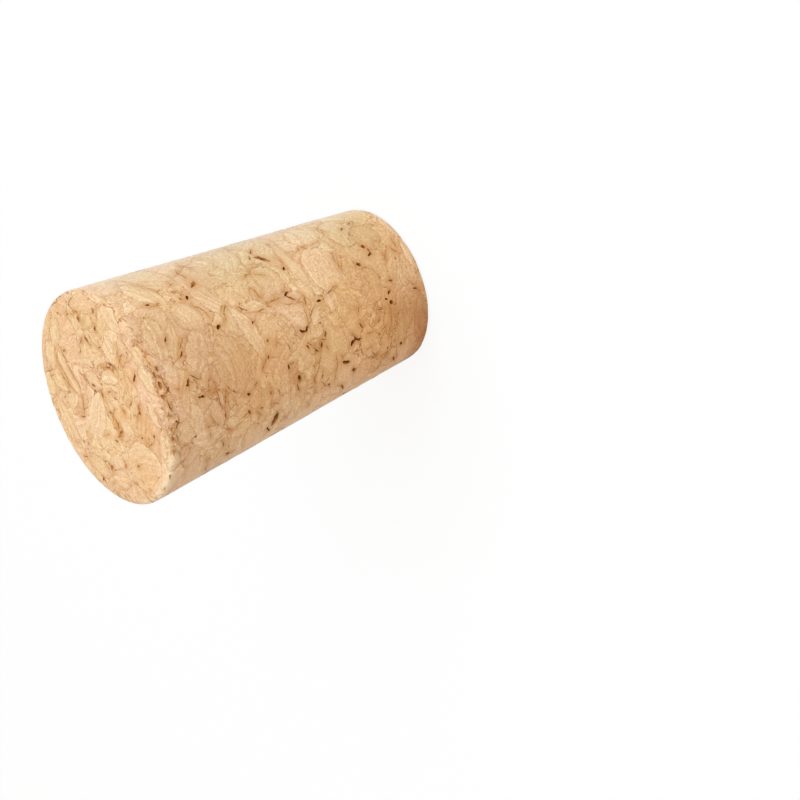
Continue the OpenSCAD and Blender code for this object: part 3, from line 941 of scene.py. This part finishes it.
def on_ground_skin(centre, normal):
    """Whether a face of the CAD model lies on its cone, its ends or its rounded edges."""
    out = math.hypot(centre.x, centre.y)
    along = Vector((centre.x, centre.y, 0)).normalized()
    wall = (SMALL_R + SLOPE * centre.z - out) * math.cos(TAPER)
    wall_normal = (along * math.cos(TAPER) - Vector((0, 0, math.sin(TAPER)))).normalized()
    end = min(centre.z, LENGTH - centre.z)
    end_normal = Vector((0, 0, 1 if centre.z > LENGTH / 2 else -1))
    if wall < EDGE_R and end < EDGE_R:
        lean = wall_normal * (EDGE_R - wall) + end_normal * (EDGE_R - end)
        depth, skin = EDGE_R - lean.length, lean.normalized()
    elif wall < end:
        depth, skin = wall, wall_normal
    else:
        depth, skin = end, end_normal
    return depth < SKIN_DEPTH and normal.dot(skin) > math.cos(math.radians(SKIN_LEAN))


# How far crevice cutters are drawn out past the skin, as a scale; how much they are swollen, and
# the side of their mesh's squares
PROUD = (1.04, 1.04, 1.03)
SWELL = 0.005 * MM
CUTTER_GRID = 0.085 * MM


def crevice_cutters():
    """Closed cutters in the shape of the CAD model's crevices, a little proud of its surface."""
    select_only(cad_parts[NODE])
    bpy.ops.object.duplicate()
    cutters = bpy.context.object
    bpy.ops.object.mode_set(mode="EDIT")
    bpy.ops.mesh.select_all(action="SELECT")
    bpy.ops.mesh.remove_doubles(threshold=0.001 * MM)
    bpy.ops.mesh.select_all(action="DESELECT")
    bpy.ops.object.mode_set(mode="OBJECT")
    for face in cutters.data.polygons:
        face.select = on_ground_skin(face.center, face.normal)
    bpy.ops.object.mode_set(mode="EDIT")
    bpy.ops.mesh.delete(type="FACE")
    bpy.ops.mesh.select_all(action="DESELECT")
    bpy.ops.mesh.select_mode(type="EDGE")
    bpy.ops.mesh.select_non_manifold(use_wire=False, use_multi_face=False, use_verts=False)
    bpy.ops.mesh.extrude_region_move()
    bpy.ops.transform.resize(value=PROUD, center_override=(0, 0, LENGTH / 2))
    bpy.ops.mesh.fill_holes(sides=0)
    bpy.ops.mesh.select_all(action="SELECT")
    bpy.ops.mesh.normals_make_consistent(inside=False)
    bpy.ops.object.mode_set(mode="OBJECT")
    apply_modifier(cutters, "DISPLACE", "Swell", strength=SWELL, mid_level=0.0)
    apply_modifier(cutters, "REMESH", "Even", mode="VOXEL", voxel_size=CUTTER_GRID)
    apply_modifier(cutters, "NODES", "Torn", node_group=ragged_tree(TEAR))
    apply_modifier(cutters, "DECIMATE", "Thin", ratio=0.25)
    return cutters


# Hairline cracks on the front of the wall, along seams: the angle from the front in degrees,
# the height in mm, the turn from level in degrees, and the length and width in mm
WALL_CRACKS = (
    (11.5, 30.4, -42, 1.7, 0.09),
    (24.5, 26.6, 18, 2.4, 0.08),
    (18.5, 24.4, -42, 2.0, 0.09),
    (14.0, 18.4, -80, 1.9, 0.1),
    (36.5, 19.0, -60, 1.8, 0.08),
    (37.0, 30.3, -60, 0.6, 0.08),
    (51.0, 29.8, 32, 3.6, 0.07),
    (47.5, 27.3, 10, 0.7, 0.1),
    (54.0, 25.0, -5, 2.4, 0.1),
    (60.0, 23.7, 10, 1.6, 0.1),
    (-0.5, 15.0, -43, 2.1, 0.09),
    (8.5, 15.0, -15, 0.9, 0.12),
    (7.6, 11.8, -80, 2.2, 0.08),
    (25.0, 9.1, -15, 2.2, 0.08),
    (39.0, 14.75, -5, 1.2, 0.1),
    (14.5, 3.5, -65, 0.9, 0.1),
    (24.0, 1.5, -5, 1.0, 0.1),
    (43.5, 10.5, 90, 2.5, 0.06),
    (55.0, 7.3, 5, 1.5, 0.08),
    (-9.3, 33.1, 90, 0.7, 0.1),
    (-7.5, 30.7, 50, 1.0, 0.09),
    (-14.0, 29.5, -25, 1.7, 0.09),
    (-23.0, 28.7, 12, 2.6, 0.1),
    (-24.0, 27.8, -8, 1.6, 0.12),
    (-43.5, 27.6, 80, 0.9, 0.1),
    (-47.0, 29.2, -80, 1.1, 0.1),
    (-53.0, 28.2, 20, 0.8, 0.16),
    (-65.0, 29.9, 14, 3.4, 0.1),
    (-39.0, 30.3, 5, 2.0, 0.07),
    (-34.5, 29.6, 25, 1.8, 0.08),
    (-25.5, 23.8, 90, 0.5, 0.12),
    (-44.7, 23.6, 30, 0.6, 0.12),
    (-43.0, 21.6, 65, 1.2, 0.07),
    (-17.0, 22.4, -40, 1.3, 0.08),
    (-61.0, 19.75, 0, 0.8, 0.12),
    (-60.0, 16.6, 10, 0.9, 0.15),
    (-41.3, 16.3, 15, 0.9, 0.12),
    (-31.0, 16.45, 0, 0.5, 0.14),
    (-40.0, 15.05, 0, 0.8, 0.1),
    (-50.0, 14.6, 35, 2.0, 0.1),
    (-57.0, 12.5, 60, 1.2, 0.1),
    (-42.0, 13.3, 2, 3.5, 0.08),
    (-34.5, 12.45, 5, 0.6, 0.1),
    (-44.5, 8.0, 42, 1.6, 0.12),
    (-37.0, 8.7, -65, 0.8, 0.1),
    (-27.3, 8.4, 80, 0.8, 0.09),
    (-10.0, 9.1, 0, 0.6, 0.12),
    (-33.0, 7.2, 40, 0.6, 0.1),
    (-30.5, 6.5, -60, 0.7, 0.1),
    (-31.5, 5.7, -40, 0.5, 0.1),
    (-23.0, 7.2, -40, 0.6, 0.1),
    (-15.0, 6.7, 75, 1.0, 0.09),
    (-53.0, 6.45, -20, 0.9, 0.15),
    (-59.5, 6.9, -8, 1.6, 0.12),
    (-42.7, 5.25, 10, 0.5, 0.12),
    (-22.0, 5.5, 0, 2.2, 0.07),
    (-17.0, 16.5, 60, 0.7, 0.08),
    (-22.3, 15.8, 30, 0.8, 0.09),
    (-21.5, 14.9, -70, 0.5, 0.09),
    (-18.5, 14.5, 80, 0.8, 0.09),
    (-23.8, 14.3, 20, 0.6, 0.09),
    (43.2, 17.4, 60, 0.5, 0.08),
    (45.0, 16.15, 31, 1.9, 0.36),
    (34.3, 18.0, 60, 1.1, 0.07),
    (22.3, 19.8, 12, 1.2, 0.08),
    (16.2, 22.3, 50, 0.9, 0.08),
    (11.5, 20.4, -79, 0.9, 0.08),
    (-53.5, 14.0, 0, 0.5, 0.1),
    (-8.5, 20.3, -60, 0.5, 0.09),
    (7.2, 22.0, -70, 0.5, 0.09),
    (33.5, 34.7, 0, 0.8, 0.14),
    (27.5, 34.7, 5, 1.1, 0.12),
    (21.5, 34.6, -5, 0.9, 0.12),
    (8.0, 34.7, 0, 2.2, 0.12),
    (-1.0, 34.4, -10, 1.6, 0.14),
    (-8.0, 34.2, 20, 1.4, 0.16),
    (-16.0, 34.4, 0, 1.6, 0.14),
    (-25.0, 34.1, -15, 1.8, 0.16),
    (-33.0, 34.3, 10, 1.0, 0.12),
)

# The same on the large end: the place in mm, to the right and up from its centre, with the
# front at the bottom, then the turn, the length and the width
END_CRACKS = (
    (3.8, 5.75, 12, 4.2, 0.12),
    (3.5, 6.3, 10, 1.4, 0.1),
    (3.2, 4.25, 10, 3.2, 0.1),
    (0.3, 4.6, -25, 1.8, 0.12),
    (9.15, 0.1, 80, 1.6, 0.1),
    (6.2, -0.1, -75, 1.5, 0.1),
    (5.5, 0.75, -35, 0.8, 0.1),
    (2.7, -3.0, 75, 2.6, 0.1),
    (4.75, -3.2, -80, 0.9, 0.12),
    (-5.6, -4.5, 35, 1.0, 0.09),
    (-5.85, -5.2, -85, 1.0, 0.09),
    (-5.5, -6.0, -50, 0.6, 0.09),
    (-1.5, -4.7, -60, 0.7, 0.12),
    (-2.75, -4.7, 75, 0.8, 0.1),
    (-3.3, 2.4, -80, 1.2, 0.09),
    (-4.5, 8.7, 70, 0.9, 0.1),
    (-7.6, -9.3, -40, 0.8, 0.12),
    (-3.6, -8.8, 5, 1.8, 0.1),
    (6.2, -9.4, 40, 1.0, 0.14),
    (4.1, 8.3, -80, 0.8, 0.12),
    (0.4, -0.05, -35, 0.5, 0.14),
    (3.5, -6.2, -20, 1.8, 0.07),
    (-1.6, -0.7, -60, 1.0, 0.14),
    (-2.9, -0.5, -50, 0.9, 0.14),
    (-2.2, -0.2, 20, 0.7, 0.12),
    (-3.9, 0.2, 80, 0.8, 0.14),
    (5.85, -1.45, 17, 1.3, 0.22),
    (8.6, -1.5, 11, 1.1, 0.14),
)


# How deep hairline cracks are, how far they reach to each side as a share of their width, and the
# length in mm of one step along them
CRACK_DEPTH = 0.4 * MM
CRACK_SIDE = 0.33
CRACK_STEP = 0.2


def crack_cutters():
    """Thin closed cutters for the hairline cracks."""
    made = []
    for place, level, up, turn, long, wide in placed(WALL_CRACKS, END_CRACKS):
        along, across, out = turned(level, up, turn)
        bpy.ops.mesh.primitive_uv_sphere_add(
            segments=6,
            ring_count=max(6, round(long / CRACK_STEP)),
            radius=1.0,
            location=place * MM,
            rotation=Matrix((across, out, along)).transposed().to_euler(),
            scale=(CRACK_SIDE * wide * MM, CRACK_DEPTH, long / 2 * MM),
        )
        made.append(bpy.context.object)
    bpy.ops.object.select_all(action="DESELECT")
    for crack in made:
        crack.select_set(True)
    bpy.context.view_layer.objects.active = made[0]
    bpy.ops.object.transform_apply(location=True, rotation=True, scale=True)
    bpy.ops.object.join()
    cutters = bpy.context.object
    apply_modifier(cutters, "NODES", "Torn", node_group=ragged_tree(BEND))
    return cutters


# Edges that turn by more than this are sharp, in degrees
SHARP_ANGLE = 40


class OBJECT_OT_cork_stopper(bpy.types.Operator):
    """Makes the cork stopper: a ground cone of granules, with the CAD model's crevices cut in"""

    bl_idname = "object.cork_stopper"
    bl_label = "Cork stopper"

    def execute(self, context):
        sizes = context.scene.cork_sizes
        smooth = ground_cone(sizes.edge_r)
        select_only(smooth)
        bpy.ops.object.duplicate()
        piece = context.object
        piece.name = PIECE
        apply_modifier(piece, "REMESH", "Grid", mode="VOXEL", voxel_size=sizes.grid)
        apply_modifier(piece, "SHRINKWRAP", "Ground", target=smooth)
        apply_modifier(piece, "NODES", "Relief", node_group=relief_tree(sizes.relief))
        cutters = (crevice_cutters(), crack_cutters())
        for cutter in cutters:
            apply_modifier(
                piece, "BOOLEAN", "Cut", operation="DIFFERENCE", solver="MANIFOLD", object=cutter
            )
        apply_modifier(piece, "NODES", "Marks", node_group=marks_tree(cutters))
        for scrap in (smooth, *cutters):
            bpy.data.objects.remove(scrap)
        select_only(piece)
        bpy.ops.object.shade_smooth_by_angle(angle=math.radians(SHARP_ANGLE))
        piece.data.materials.clear()
        piece.data.materials.append(cork_material(sizes, context.scene.cork_colours))
        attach(piece, "root")
        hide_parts(NODE)
        return {"FINISHED"}


# The floor's side in metres, and how much of what the camera sees of it is plain white
FLOOR_SIDE = 3.0
FLOOR_WHITE = 0.9


def make_floor():
    """A floor of white paper, matt, that keeps only a faint shadow for the camera."""
    bpy.ops.mesh.primitive_plane_add(size=FLOOR_SIDE)
    floor = bpy.context.object
    floor.name = "studio_floor"
    material = bpy.data.materials.new("white_paper_sweep")
    tree = empty_tree(material)
    paper = add(tree, "ShaderNodeBsdfDiffuse", {"Color": linear("#f0f0f0")})
    white = add(tree, "ShaderNodeEmission", {"Color": linear("#ffffff"), "Strength": 1.0})
    seen = add(tree, "ShaderNodeLightPath").outputs["Is Camera Ray"]
    seen = add(tree, MATH, (seen, FLOOR_WHITE), "MULTIPLY")
    mixed = add(tree, "ShaderNodeMixShader", (seen, paper, white))
    add(tree, "ShaderNodeOutputMaterial", (mixed,))
    floor.data.materials.append(material)


def make_world(scene):
    """Even light from all round, behind which the camera sees plain white."""
    scene.world = bpy.data.worlds.new("studio")
    tree = empty_tree(scene.world)
    light = add(tree, "ShaderNodeBackground", {"Color": linear("#ffecd6"), "Strength": 0.62})
    white = add(tree, "ShaderNodeBackground", {"Color": linear("#ffffff"), "Strength": 1.0})
    path = add(tree, "ShaderNodeLightPath").outputs
    seen = path["Is Camera Ray"]
    for ray in ("Is Glossy Ray", "Is Transmission Ray"):
        seen = add(tree, MATH, (seen, path[ray]), "MAXIMUM")
    mixed = add(tree, "ShaderNodeMixShader", (seen, light, white))
    add(tree, "ShaderNodeOutputWorld", (mixed,))


LAMPS = {
    "key_softbox": {"towards": (0.5, -0.53, 0.67), "watts": 1.75, "colour": "#e4f3ff"},
    "top_softbox": {"towards": (0.25, -0.1, 0.96), "watts": 2.0, "colour": "#d8edff"},
    "side_softbox": {"towards": (1.0, -0.1, 0.1), "watts": 0.6, "colour": "#8cbcff"},
}
# Their distance and their side, in metres
LAMP_AWAY = 0.6
LAMP_SIDE = 0.4


def make_lamps():
    """Soft square lamps that face the middle of the stopper."""
    middle = Vector((0, 0, LENGTH / 2))
    for name, lamp in LAMPS.items():
        towards = Vector(lamp["towards"]).normalized()
        bpy.ops.object.light_add(type="AREA", location=middle + towards * LAMP_AWAY)
        light = bpy.context.object
        light.name = name
        light.rotation_euler = towards.to_track_quat("Z", "Y").to_euler()
        light.data.size = LAMP_SIDE
        light.data.energy = lamp["watts"]
        light.data.color = linear(lamp["colour"])[:3]


# The camera: its place and its aim in mm, its turn about its line of sight in degrees, its lens
CAMERA_PLACE = (0.0, -264.0, 173.8)
CAMERA_AIM = (-11.65, -6.5, 7.42)
CAMERA_TURN = -114.226
CAMERA_LENS = 136.32


def make_camera(scene):
    """The camera, turned so that the stopper, which stands, shows lying on its side."""
    place, aim = Vector(CAMERA_PLACE) * MM, Vector(CAMERA_AIM) * MM
    bpy.ops.object.camera_add(location=place)
    camera = bpy.context.object
    camera.name = "camera"
    camera.rotation_euler = (aim - place).to_track_quat("-Z", "Y").to_euler()
    bpy.context.view_layer.update()
    level = camera.matrix_world.to_quaternion()
    turn = Quaternion(level @ Vector((0, 0, 1)), math.radians(CAMERA_TURN))
    camera.rotation_mode = "QUATERNION"
    camera.rotation_quaternion = turn @ level
    camera.data.lens = CAMERA_LENS
    camera.data.sensor_width = 36
    camera.data.clip_start = 0.01
    scene.camera = camera


class SCENE_OT_cork_studio(bpy.types.Operator):
    """Makes the studio: a pale floor, soft lamps and the camera"""

    bl_idname = "scene.cork_studio"
    bl_label = "Studio"

    def execute(self, context):
        make_floor()
        make_world(context.scene)
        make_lamps()
        make_camera(context.scene)
        return {"FINISHED"}


class VIEW3D_PT_cork(bpy.types.Panel):
    """Lists the pieces that can be made, with their sizes and colours"""

    bl_idname = "VIEW3D_PT_cork"
    bl_label = "Cork stopper"
    bl_space_type = "VIEW_3D"
    bl_region_type = "UI"
    bl_category = "Cork"

    def draw(self, context):
        column = self.layout.column()
        for group in (context.scene.cork_sizes, context.scene.cork_colours):
            for name in group.__annotations__:
                column.prop(group, name)
        column.operator("object.cork_stopper")
        column.operator("scene.cork_studio")


CLASSES = (
    CorkSizes,
    CorkColours,
    OBJECT_OT_cork_stopper,
    SCENE_OT_cork_studio,
    VIEW3D_PT_cork,
)


def register():
    for item in CLASSES:
        bpy.utils.register_class(item)
    bpy.types.Scene.cork_sizes = bpy.props.PointerProperty(type=CorkSizes)
    bpy.types.Scene.cork_colours = bpy.props.PointerProperty(type=CorkColours)


def unregister():
    del bpy.types.Scene.cork_colours
    del bpy.types.Scene.cork_sizes
    for item in reversed(CLASSES):
        bpy.utils.unregister_class(item)


def main():
    register()
    bpy.ops.scene.cork_studio()
    bpy.ops.object.cork_stopper()
    bpy.context.scene.view_settings.view_transform = "Standard"


if __name__ == "__main__":
    main()
